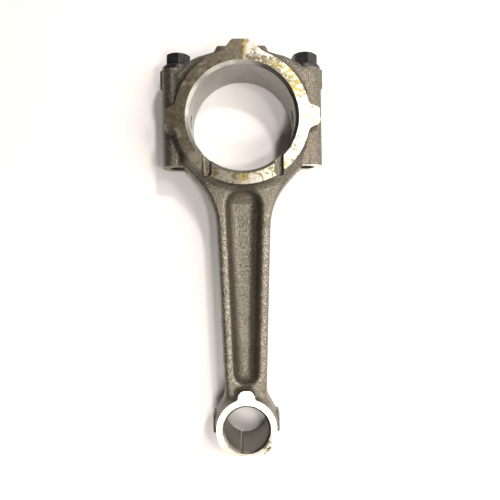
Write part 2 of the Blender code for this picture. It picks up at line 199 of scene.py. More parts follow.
class Grid:
    """Points of a box, in even steps, from the parting plane up."""

    def __init__(self, low, high, top, step):
        self.step = step
        self.low = low
        limits = ((low[0], high[0]), (low[1], high[1]), (0.0, top))
        lines = [np.arange(start, end + step, step) for start, end in limits]
        self.x, self.y, self.z = np.meshgrid(*lines, indexing="ij")

    def distance_to(self, outline):
        """Signed distance to a closed outline in plan, for every height."""
        return distance_to(outline, self.x[:, :, :1], self.y[:, :, :1]) + 0 * self.z


def rounded_outline(half, step=math.radians(6)):
    """Closed outline from its right half, top down, as (x, y, radius) corners."""
    corners = [(-x, y, r) for x, y, r in half] + list(reversed(half))
    points = []
    for i, (x, y, radius) in enumerate(corners):
        before, after = corners[i - 1], corners[(i + 1) % len(corners)]
        angle_in = math.atan2(y - before[1], x - before[0])
        angle_out = math.atan2(after[1] - y, after[0] - x)
        turn = (angle_out - angle_in + math.pi) % (2 * math.pi) - math.pi
        if not radius:
            points.append((x, y))
            continue
        side = math.copysign(1, turn)
        reach = radius * math.tan(abs(turn) / 2)
        centre_x = x - reach * math.cos(angle_in) - side * radius * math.sin(angle_in)
        centre_y = y - reach * math.sin(angle_in) + side * radius * math.cos(angle_in)
        steps = max(2, math.ceil(abs(turn) / step))
        for k in range(steps + 1):
            angle = angle_in + turn * k / steps - side * math.pi / 2
            points.append((centre_x + radius * math.cos(angle), centre_y + radius * math.sin(angle)))
    return points


def distance_to(points, x, y):
    """Signed distance in the plane to a closed outline: negative inside."""
    nearest = np.full(x.shape, np.inf)
    inside = np.zeros(x.shape, bool)
    for (ax, ay), (bx, by) in zip(points, points[1:] + points[:1]):
        ex, ey = bx - ax, by - ay
        length = ex * ex + ey * ey
        if length < TINY:
            continue
        share = np.clip(((x - ax) * ex + (y - ay) * ey) / length, 0, 1)
        nearest = np.minimum(nearest, np.hypot(x - ax - share * ex, y - ay - share * ey))
        if ay != by:
            crosses = (ay > y) != (by > y)
            inside ^= crosses & (x < ax + (y - ay) * ex / ey)
    return np.where(inside, -nearest, nearest)


def meeting_radius(a, b, radius):
    """The radius of a blend, faded out where the two surfaces run alongside each other."""
    slopes_a, slopes_b = np.gradient(a), np.gradient(b)
    dot = sum(first * second for first, second in zip(slopes_a, slopes_b))
    long_a = sum(first**2 for first in slopes_a)
    long_b = sum(second**2 for second in slopes_b)
    alike = dot / np.sqrt(np.maximum(long_a * long_b, TINY))
    return radius * np.clip(1 - alike, 0, 1)


def join(a, b, radius):
    """Union of two fields with a concave fillet."""
    if not radius:
        return np.minimum(a, b)
    reach = meeting_radius(a, b, radius)
    blend = np.hypot(np.maximum(reach - a, 0), np.maximum(reach - b, 0))
    return np.maximum(reach, np.minimum(a, b)) - blend


def common(a, b, radius):
    """Intersection of two fields with a rounded edge."""
    if not radius:
        return np.maximum(a, b)
    reach = meeting_radius(a, b, radius)
    blend = np.hypot(np.maximum(reach + a, 0), np.maximum(reach + b, 0))
    return np.minimum(-reach, np.maximum(a, b)) + blend


def without(a, b, radius):
    """The first field less the second, with a rounded edge."""
    return common(a, -b, radius)


def slab(value, low, high, radius=0.0):
    """Field of the space between two limits along one direction."""
    return common(low - value, value - high, radius)


def rounded_box(u, v, centre, half, radius):
    """Field of a rounded rectangle across two directions."""
    du = np.abs(u - centre[0]) - half[0] + radius
    dv = np.abs(v - centre[1]) - half[1] + radius
    return np.hypot(np.maximum(du, 0), np.maximum(dv, 0)) + np.minimum(np.maximum(du, dv), 0) - radius


def read_at(values, places):
    """Values of a grid between its points."""
    low = np.clip(np.floor(places).astype(int), 0, np.array(values.shape) - 2)
    part = places - low
    total = 0
    for corner in itertools.product((0, 1), repeat=3):
        weight = np.prod(np.where(corner, part, 1 - part), axis=1)
        total = total + weight * values[tuple((low + corner).T)]
    return total


def crossing_centres(field, cells):
    """Mean place, within each cell, of the points where the field changes sign on its edges."""
    total = np.zeros((len(cells), 3))
    hits = np.zeros((len(cells), 1))
    for axis in range(3):
        for a, b in itertools.product((0, 1), repeat=2):
            start = np.insert([a, b], axis, 0)
            end = np.insert([a, b], axis, 1)
            first = field[tuple((cells + start).T)]
            last = field[tuple((cells + end).T)]
            crossed = ((first < 0) != (last < 0))[:, None]
            share = first / np.where(first == last, 1, first - last)
            total += crossed * (start + share[:, None] * (end - start))
            hits += crossed
    return total / hits


def settled(points, field, passes=2, longest=0.4, flattest=1e-6):
    """Points moved along the field's slope onto its zero surface, by less than a step a pass."""
    slopes = np.gradient(field)
    for _ in range(passes):
        slope = np.stack([read_at(part, points) for part in slopes], axis=1)
        steepness = np.maximum((slope**2).sum(1), flattest)[:, None]
        move = read_at(field, points)[:, None] * slope / steepness
        points = points - np.clip(move, -longest, longest)
    return points


def faces_across(inside, number):
    """A face round each grid edge that the surface crosses, through the points of its four cells."""
    size = number.shape
    faces = []
    for axis in range(3):
        across, up = (axis + 1) % 3, (axis + 2) % 3
        last = np.take(inside, range(1, inside.shape[axis]), axis)
        first = np.take(inside, range(inside.shape[axis] - 1), axis)
        edges = np.argwhere(first != last)
        edges = edges[(edges[:, across] > 0) & (edges[:, up] > 0)]
        edges = edges[(edges[:, across] < size[across]) & (edges[:, up] < size[up])]
        step_a, step_b = np.eye(3, dtype=int)[across], np.eye(3, dtype=int)[up]
        around = [edges, edges - step_a, edges - step_a - step_b, edges - step_b]
        quads = np.stack([number[tuple(cell.T)] for cell in around], axis=1)
        leaving = first[tuple(edges.T)]
        faces.append(np.where(leaving[:, None], quads, quads[:, ::-1]))
    return np.concatenate(faces)


def surface_of(field):
    """Points, in grid steps, and faces of a field's zero surface: a point in each crossed cell."""
    inside = field < 0
    size = [n - 1 for n in field.shape]
    corners_inside = np.zeros(size, np.int8)
    for i, j, k in itertools.product((0, 1), repeat=3):
        corners_inside += inside[i : i + size[0], j : j + size[1], k : k + size[2]]
    cells = np.argwhere((corners_inside > 0) & (corners_inside < 8))
    number = np.full(size, -1, np.int64)
    number[tuple(cells.T)] = np.arange(len(cells))
    points = settled(cells + crossing_centres(field, cells), field)
    return points, faces_across(inside, number)


# ------------------------------------------------------------ meshes


def to_world(points):
    """Millimetres in the rod's frame to metres in the row frame."""
    return (np.asarray(points) + (0, SPLIT_Y, MID_Z)) * MM


def new_object(name, points, faces):
    """Object whose points are given in millimetres in the rod's frame."""
    mesh = bpy.data.meshes.new(name)
    mesh.from_pydata(to_world(points).tolist(), [], [tuple(face) for face in faces])
    mesh.validate()
    obj = bpy.data.objects.new(name, mesh)
    bpy.context.scene.collection.objects.link(obj)
    return obj


def outward(obj):
    """Turns an object's faces out and welds points that coincide."""
    shape = bmesh.new()
    shape.from_mesh(obj.data)
    bmesh.ops.remove_doubles(shape, verts=shape.verts, dist=1e-7)
    bmesh.ops.recalc_face_normals(shape, faces=shape.faces)
    shape.to_mesh(obj.data)
    shape.free()
    return obj


def forging(name, grid, field):
    """Mesh of a field that holds the half from the parting plane up, mirrored below it."""
    whole = np.concatenate([field[:, :, :0:-1], field], axis=2)
    points, faces = surface_of(whole)
    low = (*grid.low, -grid.z.max())
    return new_object(name, points * grid.step + low, faces.tolist())


def mirrored(upper):
    """Closed loop of (radius, height) points from its upper half, top first."""
    return upper + [(radius, -height) for radius, height in reversed(upper)]


def turned(name, profile, steps, along="Z", at=(0, 0, 0)):
    """A closed solid turned round an axis from the closed loop of its (radius, height) points."""
    points = []
    for k in range(steps):
        angle = 2 * math.pi * k / steps
        for radius, height in profile:
            u, v = radius * math.cos(angle), radius * math.sin(angle)
            place = (u, v, height) if along == "Z" else (u, height, v)
            points.append(np.add(place, at))
    count = len(profile)
    faces = []
    for k in range(steps):
        here, there = k * count, (k + 1) % steps * count
        for i in range(count):
            j = (i + 1) % count
            if profile[i][0] or profile[j][0]:
                faces.append((here + i, here + j, there + j, there + i))
    return outward(new_object(name, points, faces))


def turned_on_bolt(name, side, profile, steps):
    """A solid turned round a bolt's axis."""
    return turned(name, profile, steps, along="Y", at=(side * BOLT_X, 0, 0))


def beside_bolt(side, radius, height, angle):
    """A point at a radius from a bolt's axis."""
    return (side * BOLT_X + radius * math.cos(angle), height, radius * math.sin(angle))


def tube_faces(rings, count):
    """Faces of a solid through rings of so many points each: its two ends, then its sides."""
    faces = [tuple(range(count)), tuple(range((rings - 1) * count, rings * count))]
    for ring in range(rings - 1):
        here, there = ring * count, (ring + 1) * count
        for i in range(count):
            j = (i + 1) % count
            faces.append((here + i, here + j, there + j, there + i))
    return faces


def block(name, low, high):
    """A box between two corners."""
    corners = list(itertools.product(*zip(low, high)))
    faces = [(0, 1, 3, 2), (4, 6, 7, 5), (0, 4, 5, 1), (2, 3, 7, 6), (0, 2, 6, 4), (1, 5, 7, 3)]
    return outward(new_object(name, corners, faces))


def cut_away(obj, cutters, finish):
    """Machines an object with each cutter in turn; the new faces get the finish by its number."""
    for cutter in cutters:
        for material in obj.data.materials:
            cutter.data.materials.append(material)
        for face in cutter.data.polygons:
            face.material_index = finish
        combine(obj, cutter, "DIFFERENCE")


def combine(obj, other, operation):
    """Boolean of an object with another one, which is used up."""
    boolean = obj.modifiers.new("combine", "BOOLEAN")
    boolean.operation = operation
    boolean.solver = "MANIFOLD"
    boolean.object = other
    bpy.context.view_layer.update()
    evaluated = obj.evaluated_get(bpy.context.evaluated_depsgraph_get())
    mesh = bpy.data.meshes.new_from_object(evaluated)
    obj.modifiers.clear()
    obj.data = mesh
    bpy.data.objects.remove(other)


def shade(obj, angle=SHARP):
    """Smooth shading, except over edges sharper than an angle."""
    obj.data.shade_smooth()
    obj.data.set_sharp_from_angle(angle=math.radians(angle))


# ------------------------------------------------------------ the forgings


def outer_lean(z):
    """How far draft brings a side in at each height above the trimmed band."""
    return np.maximum(z - BAND, 0) * DRAFT


def upright(outline, grid, draft=DRAFT):
    """Field of a drafted post whose outline is given at the machined face."""
    return grid.distance_to(outline) - (HALF - grid.z) * draft


def big_ring(grid):
    """The ring round the big end's bore, wider towards the parting plane."""
    return np.hypot(grid.x, grid.y) - BIG_RING_R - (HALF - grid.z) * DRAFT


def side_lobe(grid):
    """Lobe over a boss, half above and half below the split; both sides at once."""
    upper = [(33.0, 14.0, 0), (37.3, 13.0, 0), (39.6, 6.9, 3.0), (45.6, 4.6, 2.6)]
    lower = [(x, -y, r) for x, y, r in reversed(upper)]
    return upright(rounded_outline(upper + lower), grid)


def boss(grid, low, high):
    """Rounded column that holds a bolt, between two heights along Y; both sides at once."""
    middle = ((BOSS_OUTER_X + BOSS_INNER_X) / 2, 0)
    half = ((BOSS_OUTER_X - BOSS_INNER_X) / 2, BOSS_HALF_DEPTH)
    column = rounded_box(np.abs(grid.x), grid.z, middle, half, BOSS_ROUND)
    return common(column, slab(grid.y, low, high), 0.0)


def beam_half_width(y):
    """Half the shank's width at the parting plane, which tapers towards the small end."""
    top_y, foot_y, top, foot = -55.0, -162.0, 17.0, 13.1
    return top + (y - top_y) / (foot_y - top_y) * (foot - top)


def beam(grid):
    """The shank without its pockets: flare at the big end, taper, neck at the small end."""
    flare_y, neck_y = -49.0, -165.6
    half = [
        (37.2, -18.0, 0),
        (37.2, -26.4, 0),
        (beam_half_width(flare_y), flare_y, 43.0),
        (beam_half_width(neck_y), neck_y, 10.0),
        (18.2, -CENTRES + 7.6, 0),
        (15.0, -CENTRES - 2.0, 0),
    ]
    side = grid.distance_to(rounded_outline(half)) + outer_lean(grid.z)
    return common(side, grid.z - BEAM_HALF_DEPTH, BEAM_EDGE)


def pocket(grid):
    """The hollow beside the web: drafted walls, and a bed that ramps up at both ends."""
    half = [(11.3, -42.0, 9.5), (7.35, -158.6, 7.1)]
    bed_ends_y = (-150.8, -51.0)
    lean = (BEAM_HALF_DEPTH - grid.z) * POCKET_DRAFT
    wall = (grid.distance_to(rounded_outline(half)) + lean) / math.hypot(1, POCKET_DRAFT)
    past_end = np.maximum(0, np.maximum(grid.y - bed_ends_y[1], bed_ends_y[0] - grid.y))
    ramp = np.hypot(past_end, RAMP_EASE)
    bed = WEB_HALF_DEPTH + RAMP_SLOPE * (ramp - RAMP_EASE)
    above_bed = (bed - grid.z) / np.hypot(1, RAMP_SLOPE * past_end / ramp)
    return common(wall, above_bed, POCKET_FILLET)


def eye_pads(grid):
    """Pads at the sides of the small end, where metal is taken off to set the weight."""
    half_size, outer_x = (5.9, 5.0), 20.25
    pads = rounded_box(grid.y, grid.z, (-CENTRES, 0), half_size, 0.8)
    return common(pads, np.abs(grid.x) - outer_x, 0.5)


def small_end(grid):
    """The eye for the bush, with a lobe towards the shank and pads at its sides."""
    from_centre = np.hypot(grid.x, grid.y + CENTRES)
    lean = (EYE_R - SMALL_RING_R) / (HALF - BAND)
    eye = from_centre - np.minimum(SMALL_RING_R + (HALF - grid.z) * lean, EYE_R)
    lobe_half = [(3.0, 22.4, 2.9), (4.7, 19.4, 2.6), (4.9, 15.0, 0), (4.9, 10.0, 0)]
    outline = rounded_outline([(x, y - CENTRES, r) for x, y, r in lobe_half])
    eye = join(eye, upright(outline, grid), EYE_LOBE_FILLET)
    return join(eye, eye_pads(grid), PAD_FILLET)


def ring_slots(grid):
    """Slots forged across the lower half of the ring, one pair in each face."""
    across = slab(np.abs(grid.x), SLOT_X - SLOT_HALF_WIDTH, SLOT_X + SLOT_HALF_WIDTH)
    slot = common(across, HALF - SLOT_DEPTH - grid.z, SLOT_ROUND)
    return common(slot, slab(grid.y, *SLOT_ENDS_Y), SLOT_ROUND)


def trimmed(grid, field, past_split):
    """A forging's field, ended above the machined face and past the split."""
    field = common(field, grid.z - HALF - ALLOWANCE, FACE_ROUND)
    return common(field, past_split - SPLIT_ALLOWANCE, 0.0)


def rod_forging():
    """The rod's forging with metal left on its faces and on the split."""
    grid = Grid((-51.5, -CENTRES - 21.5), (51.5, 4.5), GRID_TOP, BODY_STEP)
    body = without(beam(grid), pocket(grid), POCKET_EDGE)
    ring = join(big_ring(grid), side_lobe(grid), LOBE_FILLET)
    body = join(body, ring, NECK_FILLET)
    body = join(body, boss(grid, SHOULDER_Y - SHOULDER_ALLOWANCE, CUT), BOSS_FILLET)
    body = join(body, small_end(grid), EYE_FILLET)
    body = without(body, ring_slots(grid), SLOT_MOUTH_ROUND)
    return forging("rod_body_forging", grid, trimmed(grid, body, grid.y))


def crown_web(grid):
    """The flat body of the cap, stepped down from the crown to the bosses."""
    half = [
        (15.1, CROWN_TOP, 2.4),
        (17.0, 42.2, 1.8),
        (26.4, 39.6, 8.0),
        (33.2, 36.2, 4.0),
        (37.8, 31.8, 0),
        (41.0, 29.0, 0),
        (41.0, -CUT, 0),
    ]
    side = grid.distance_to(rounded_outline(half)) + outer_lean(grid.z)
    return common(side, grid.z - CAP_HALF_DEPTH, CAP_EDGE)


def crown_lobe(grid):
    """Lobe of the ring's face at the crown."""
    half = [(5.6, 45.5, 2.4), (8.9, 41.2, 2.5), (14.0, 37.2, 0), (14.0, 30.0, 0)]
    return upright(rounded_outline(half), grid, LOBE_DRAFT)


def cap_pads(grid):
    """Pads at the sides of the cap, where metal is taken off to set the weight."""
    middle, half_size, span_x = (26.5, 0), (6.0, 4.5), (44.0, 49.8)
    pads = rounded_box(grid.y, grid.z, middle, half_size, 1.0)
    return common(pads, slab(np.abs(grid.x), *span_x), 0.4)


def cap_forging():
    """The cap's forging with metal left on its faces, its bolt seats and the split."""
    grid = Grid((-52.5, -4.5), (52.5, CROWN_TOP + 2.5), GRID_TOP, CAP_STEP)
    ring = join(big_ring(grid), side_lobe(grid), LOBE_FILLET)
    ring = join(ring, crown_lobe(grid), LOBE_FILLET)
    cap = join(crown_web(grid), ring, RING_FILLET)
    cap = join(cap, boss(grid, -CUT, SEAT_Y + CUT), BOSS_FILLET)
    cap = join(cap, cap_pads(grid), PAD_FILLET)
    return forging("rod_cap_forging", grid, trimmed(grid, cap, -grid.y))


# ------------------------------------------------------------ machining


def both_faces():
    """Cutters that take the allowance off the upper and the lower face."""
    near, far = HALF, HALF + ALLOWANCE + CUT
    return [
        block("face", (-PAST_SIDE, PAST_FOOT, near), (PAST_SIDE, PAST_SIDE, far)),
        block("face", (-PAST_SIDE, PAST_FOOT, -far), (PAST_SIDE, PAST_SIDE, -near)),
    ]


def plane_cut(name, low_y, high_y, low_x=-PAST_SIDE, high_x=PAST_SIDE):
    """Cutter for a flat across the split or across a bolt."""
    return block(name, (low_x, low_y, -PAST_FACE), (high_x, high_y, PAST_FACE))


def bore(radius, chamfer, at_y=0.0):
    """Cutter for a bore through both faces, with both edges broken at 45 degrees."""
    wide, far = radius + chamfer + CUT, HALF + CUT
    profile = mirrored([(0.0, far), (wide, far), (radius, HALF - chamfer)])
    return turned("bore", profile, BORE_STEPS, at=(0, at_y, 0))


def bolt_hole(side, profile):
    """Cutter on a bolt's axis, from the closed loop of its (radius, height) points."""
    return turned_on_bolt("bolt_hole", side, profile, HOLE_STEPS)


def flat_round_bolt(radius, start, end):
    """Profile of a round flat on a bolt's axis, cut from one height to another."""
    return [(0.0, start), (radius, start), (radius, end), (0.0, end)]


def tapped_hole():
    """Profile of the rod's hole for a bolt: dowel seat, tapped length, wider mouth."""
    tap_r, mouth_r, dowel_r = BOLT_R - 0.35, BOLT_R + 0.35, DOWEL_R + DOWEL_GAP
    dowel_end = DOWEL_HALF + DOWEL_END_GAP
    return [
        (0.0, CUT),
        (dowel_r, CUT),
        (dowel_r, -dowel_end),
        (tap_r, -dowel_end),
        (tap_r, SHOULDER_Y + 1.0),
        (mouth_r, SHOULDER_Y + 0.3),
        (mouth_r, SHOULDER_Y - CUT),
        (0.0, SHOULDER_Y - CUT),
    ]


def clearance_hole():
    """Profile of the cap's hole for a bolt: broken edge, clear length, dowel seat."""
    clear_r, dowel_r, edge = BOLT_R + 0.3, DOWEL_R + DOWEL_GAP, 0.6
    dowel_end = DOWEL_HALF + DOWEL_END_GAP
    return [
        (0.0, SEAT_Y + CUT),
        (clear_r + edge + CUT, SEAT_Y + CUT),
        (clear_r, SEAT_Y - edge),
        (clear_r, dowel_end),
        (dowel_r, dowel_end),
        (dowel_r, -CUT),
        (0.0, -CUT),
    ]


def tang_slot(side, low, high):
    """Cutter for the slot that keeps a bearing shell from turning."""
    start, end = sorted((side * (BIG_BORE_R - 4.0), side * (BIG_BORE_R + TANG_SLOT_DEPTH)))
    low_z, high_z = TANG_SLOT_Z
    return block("tang_slot", (start, low, low_z), (end, high, high_z))


def machine_body(body):
    """Machines the rod: faces, split, bores, then shoulders and tapped holes at both sides."""
    cut_away(body, both_faces(), GROUND)
    cut_away(body, [plane_cut("split", -SPLIT_GAP / 2, PAST_SPLIT)], GROUND)
    cut_away(body, [bore(BIG_BORE_R, BIG_CHAMFER)], BORED)
    cut_away(body, [bore(BUSH_OUTER_R + BUSH_GAP, BUSH_SEAT_CHAMFER, -CENTRES)], BORED)
    facing = flat_round_bolt(SHOULDER_FACE_R, SHOULDER_Y, -PAST_SIDE)
    for side in (-1, 1):
        span = sorted((side * SHOULDER_X, side * PAST_SIDE))
        cut_away(body, [plane_cut("shoulder", -PAST_SIDE, SHOULDER_Y, *span)], GROUND)
        cut_away(body, [bolt_hole(side, facing)], GROUND)
        cut_away(body, [bolt_hole(side, tapped_hole())], PAINTED_SHADE)
    cut_away(body, [tang_slot(-1, TANG_SLOT_LEFT_Y[0], CUT)], PAINTED_SHADE)


def machine_cap(cap):
    """Machines the cap: faces, split, bore, then bolt seats and clearance holes at both sides."""
    cut_away(cap, both_faces(), GROUND)
    cut_away(cap, [plane_cut("split", -PAST_SPLIT, SPLIT_GAP / 2)], GROUND)
    cut_away(cap, [bore(BIG_BORE_R, BIG_CHAMFER)], BORED)
    spot_face = flat_round_bolt(SPOT_FACE_R, PAST_SIDE, SEAT_Y)
    for side in (-1, 1):
        span = sorted((side * (BOLT_X + 1.0), side * PAST_SIDE))
        cut_away(cap, [plane_cut("seat", SEAT_Y, PAST_SIDE, *span)], GROUND)
        cut_away(cap, [bolt_hole(side, spot_face)], GROUND)
        cut_away(cap, [bolt_hole(side, clearance_hole())], BORED)
    left, right = tang_slot(-1, -CUT, TANG_SLOT_LEFT_Y[1]), tang_slot(1, -CUT, TANG_SLOT_RIGHT_TOP)
    cut_away(cap, [left, right], PAINTED_SHADE)


# ------------------------------------------------------------ bolts, dowels and bush


def thread_radius(height, turn, root, crest_glint):
    """Radius of the thread at a height and a share of a turn; it dies away at the bolt's tip."""
    flank, root_flat, tip_taper = 1.35, 0.12, 0.6
    phase = (height / THREAD_PITCH - turn) % 1.0
    ridge = 1 - abs(2 * phase - 1)
    radius = root + (crest_glint - root) * min(1, max(0, flank * ridge - root_flat))
    tip_r = root - tip_taper
    return max(tip_r, min(radius, tip_r + height - BOLT_TIP))


def threaded_shank(side):
    """Bolt shank with a helical thread at its tip, as rings of points down the axis."""
    steps, rows_per_turn = 48, 8
    crest_glint = BOLT_R - 0.05
    root = crest_glint - THREAD_DEPTH
    thread_top = BOLT_TIP + THREAD_LENGTH
    heights = [HEAD_TOP - 6.0, SEAT_Y - 1.5, thread_top + 2.0, thread_top + 1.2]
    rows = int(THREAD_LENGTH / THREAD_PITCH * rows_per_turn)
    heights += [thread_top - THREAD_LENGTH * k / rows for k in range(rows + 1)]
    points = []
    for height in heights:
        for k in range(steps):
            turn = k / steps
            threaded = height <= thread_top
            radius = thread_radius(height, turn, root, crest_glint) if threaded else crest_glint
            points.append(beside_bolt(side, radius, height, 2 * math.pi * turn))
    return outward(new_object("threaded_shank", points, tube_faces(len(heights), steps)))


def hexagon(side, turn):
    """The head's six flats, from inside the flange to its top."""
    corner_r = HEAD_FLATS / math.sqrt(3)
    angles = [math.pi / 2 - turn + k * math.pi / 3 for k in range(6)]
    heights = (SEAT_Y + 2.0, HEAD_TOP)
    points = [beside_bolt(side, corner_r, height, angle) for height in heights for angle in angles]
    return outward(new_object("hexagon", points, tube_faces(len(heights), len(angles))))


def head_dome():
    """Profile that rounds the head's top off towards its corners, as the heading die leaves it."""
    flat_r, outer_r, drop, steps = 5.7, 9.1, 2.3, 12
    shares = [k / steps for k in range(steps + 1)]
    dome = [(flat_r + (outer_r - flat_r) * share, HEAD_TOP - drop * share**2) for share in shares]
    return [(0.0, HEAD_TOP), *dome, (outer_r, SEAT_Y), (0.0, SEAT_Y)]


def head_flange():
    """Profile of the flange: crowned above, rounded at the rim, flat on the seat."""
    rim, seat = FLANGE_R, SEAT_Y + 0.03
    return [
        (0.0, SEAT_Y + 3.7),
        (7.0, SEAT_Y + 3.7),
        (8.2, SEAT_Y + 3.5),
        (rim - 0.6, SEAT_Y + 3.1),
        (rim - 0.2, SEAT_Y + 2.85),
        (rim, SEAT_Y + 2.45),
        (rim, SEAT_Y + 0.45),
        (rim - 0.15, SEAT_Y + 0.15),
        (rim - 0.45, seat),
        (0.0, seat),
    ]


def build_bolt(name, side, turn):
    """A flange bolt whose head stands turned by an angle."""
    head = hexagon(side, turn)
    bevel = head.modifiers.new("edges", "BEVEL")
    bevel.width = 0.35 * MM
    bevel.segments = 3
    bevel.limit_method = "ANGLE"
    combine(head, turned_on_bolt("dome", side, head_dome(), HEAD_STEPS), "INTERSECT")
    combine(head, turned_on_bolt("flange", side, head_flange(), HEAD_STEPS), "UNION")
    combine(head, threaded_shank(side), "UNION")
    head.name = name
    head.data.materials.clear()
    head.data.materials.append(black_oxide)
    shade(head, HEAD_SHARP)
    return head


def build_dowel(name, side):
    """Hollow dowel round a bolt, half in the rod and half in the cap."""
    inner, outer, edge = BOLT_R + 0.25, DOWEL_R, 0.5
    upper = [(inner, DOWEL_HALF), (outer - edge, DOWEL_HALF), (outer, DOWEL_HALF - edge)]
    dowel = turned_on_bolt(name, side, mirrored(upper), HOLE_STEPS)
    dowel.data.materials.append(ground_pin)
    shade(dowel)
    return dowel


def bush_section(eased):
    """Section of the bush's wall, with so much taken off its bore."""
    lead_in_r, outer, edge = BUSH_INNER_R + BUSH_CHAMFER, BUSH_OUTER_R, 0.2
    upper = [
        (BUSH_INNER_R + eased, BUSH_HALF - BUSH_CHAMFER),
        (lead_in_r, BUSH_HALF),
        (outer - edge, BUSH_HALF),
        (outer, BUSH_HALF - edge),
    ]
    return mirrored(upper)


def build_bush():
    """Bush rolled from strip: open by a hair at the seam, where both ends are eased."""
    steps, half_gap = 180, math.radians(0.4)
    eased_angle, eased_depth = math.radians(4.5), 0.45
    points = []
    for k in range(steps + 1):
        turn = half_gap + (2 * math.pi - 2 * half_gap) * k / steps
        from_seam = min(turn, 2 * math.pi - turn)
        section = bush_section(eased_depth * max(0, 1 - from_seam / eased_angle))
        angle = BUSH_SEAM_ANGLE + turn
        for radius, height in section:
            points.append((radius * math.cos(angle), radius * math.sin(angle) - CENTRES, height))
    bush = outward(new_object("rolled_bush", points, tube_faces(steps + 1, len(section))))
    bush.data.materials.append(bush_metal)
    bush.data.materials.append(finishes[GROUND])
    for face in bush.data.polygons:
        face.material_index = int(abs(face.normal.z) > 0.9)
    shade(bush)
    return bush


# ------------------------------------------------------------ materials


class Shader:
    """A Principled material and short ways to add nodes to it.

    Noise is laid out in object space, so its scales are per metre. Places and depths are in
    millimetres, as everywhere else here.
    """

    def __init__(self, name, colour, roughness, metallic):
        self.material = bpy.data.materials.new(name)
        self.material.use_nodes = True
        self.nodes = self.material.node_tree.nodes
        self.links = self.material.node_tree.links
        self.principled = self.nodes["Principled BSDF"]
        self.principled.inputs["Base Color"].default_value = (*colour, 1)
        self.principled.inputs["Roughness"].default_value = roughness
        self.principled.inputs["Metallic"].default_value = metallic
        self.material.diffuse_color = (*colour, 1)
        self.place = self.nodes.new("ShaderNodeTexCoord").outputs["Object"]

    def feed(self, socket, value):
        """Gives an input another node's output, or a plain value."""
        if isinstance(value, bpy.types.NodeSocket):
            self.links.new(value, socket)
        else:
            socket.default_value = value

    def add(self, kind, **inputs):
        """A node with its inputs fed by name."""
        node = self.nodes.new("ShaderNode" + kind)
        for key, value in inputs.items():
            self.feed(node.inputs[key.replace("_", " ")], value)
        return node

    def axes(self):
        """X, Y and Z in the rod's frame, with zero height halfway up the rod."""
        scale = (1 / MM, 1 / MM, 1 / MM)
        moved = self.add("Mapping", Vector=self.place, Location=(0, -SPLIT_Y, -MID_Z), Scale=scale)
        spread = self.add("SeparateXYZ", Vector=moved.outputs["Vector"])
        return [spread.outputs[axis] for axis in "XYZ"]

    def stretched(self, x, y, z):
        """Object space scaled along each axis: a scale below 1 draws noise out along it."""
        return self.add("Mapping", Vector=self.place, Scale=(x, y, z)).outputs["Vector"]

    def noise(self, scale, detail=3.0, roughness=0.55, distortion=0.0, where=None):
        node = self.add("TexNoise", Vector=where or self.place, Scale=scale, Detail=detail)
        self.feed(node.inputs["Roughness"], roughness)
        self.feed(node.inputs["Distortion"], distortion)
        return node.outputs["Fac"]

    def cells(self, scale):
        """A value from 0 to 1 of its own for each small cell."""
        node = self.add("TexVoronoi", Vector=self.place, Scale=scale)
        return self.add("SeparateColor", Color=node.outputs["Color"]).outputs["Red"]

    def levels(self, value, low, high, to_low=0.0, to_high=1.0):
        """Smooth step from one output to another as a value goes from low to high."""
        node = self.add("MapRange", Value=value, From_Min=low, From_Max=high)
        node.interpolation_type = "SMOOTHSTEP"
        self.feed(node.inputs["To Min"], to_low)
        self.feed(node.inputs["To Max"], to_high)
        return node.outputs["Result"]

    def maths(self, operation, a, b=0.0):
        node = self.nodes.new("ShaderNodeMath")
        node.operation = operation
        self.feed(node.inputs[0], a)
        self.feed(node.inputs[1], b)
        return node.outputs[0]

    def both(self, first, second):
        """Mask of where two masks meet."""
        return self.maths("MULTIPLY", first, second)

    def opposite(self, mask):
        """Mask of where a mask is not."""
        return self.maths("SUBTRACT", 1.0, mask)

    def within(self, value, lower, upper):
        """Mask between two spans of a value, each given from where it is 0 to where it is 1."""
        return self.both(self.levels(value, *lower), self.levels(value, *upper))

    def mix(self, share, first, second):
        """Mixes two colours, each a tuple or a socket."""
        node = self.nodes.new("ShaderNodeMix")
        node.data_type = "RGBA"
        factor, colour_a, colour_b = node.inputs[0], node.inputs[6], node.inputs[7]
        self.feed(factor, share)
        for socket, value in ((colour_a, first), (colour_b, second)):
            self.feed(socket, (*value, 1) if isinstance(value, tuple) else value)
        return node.outputs[2]

    def bump(self, height, depth, strength=1.0, after=None):
        node = self.add("Bump", Height=height, Distance=depth * MM, Strength=strength)
        if after is not None:
            self.feed(node.inputs["Normal"], after)
        return node.outputs["Normal"]

    def drive(self, **sockets):
        """Links nodes to the Principled shader's sockets and hands the material over."""
        for key, value in sockets.items():
            self.feed(self.principled.inputs[key.replace("_", " ")], value)
        return self.material


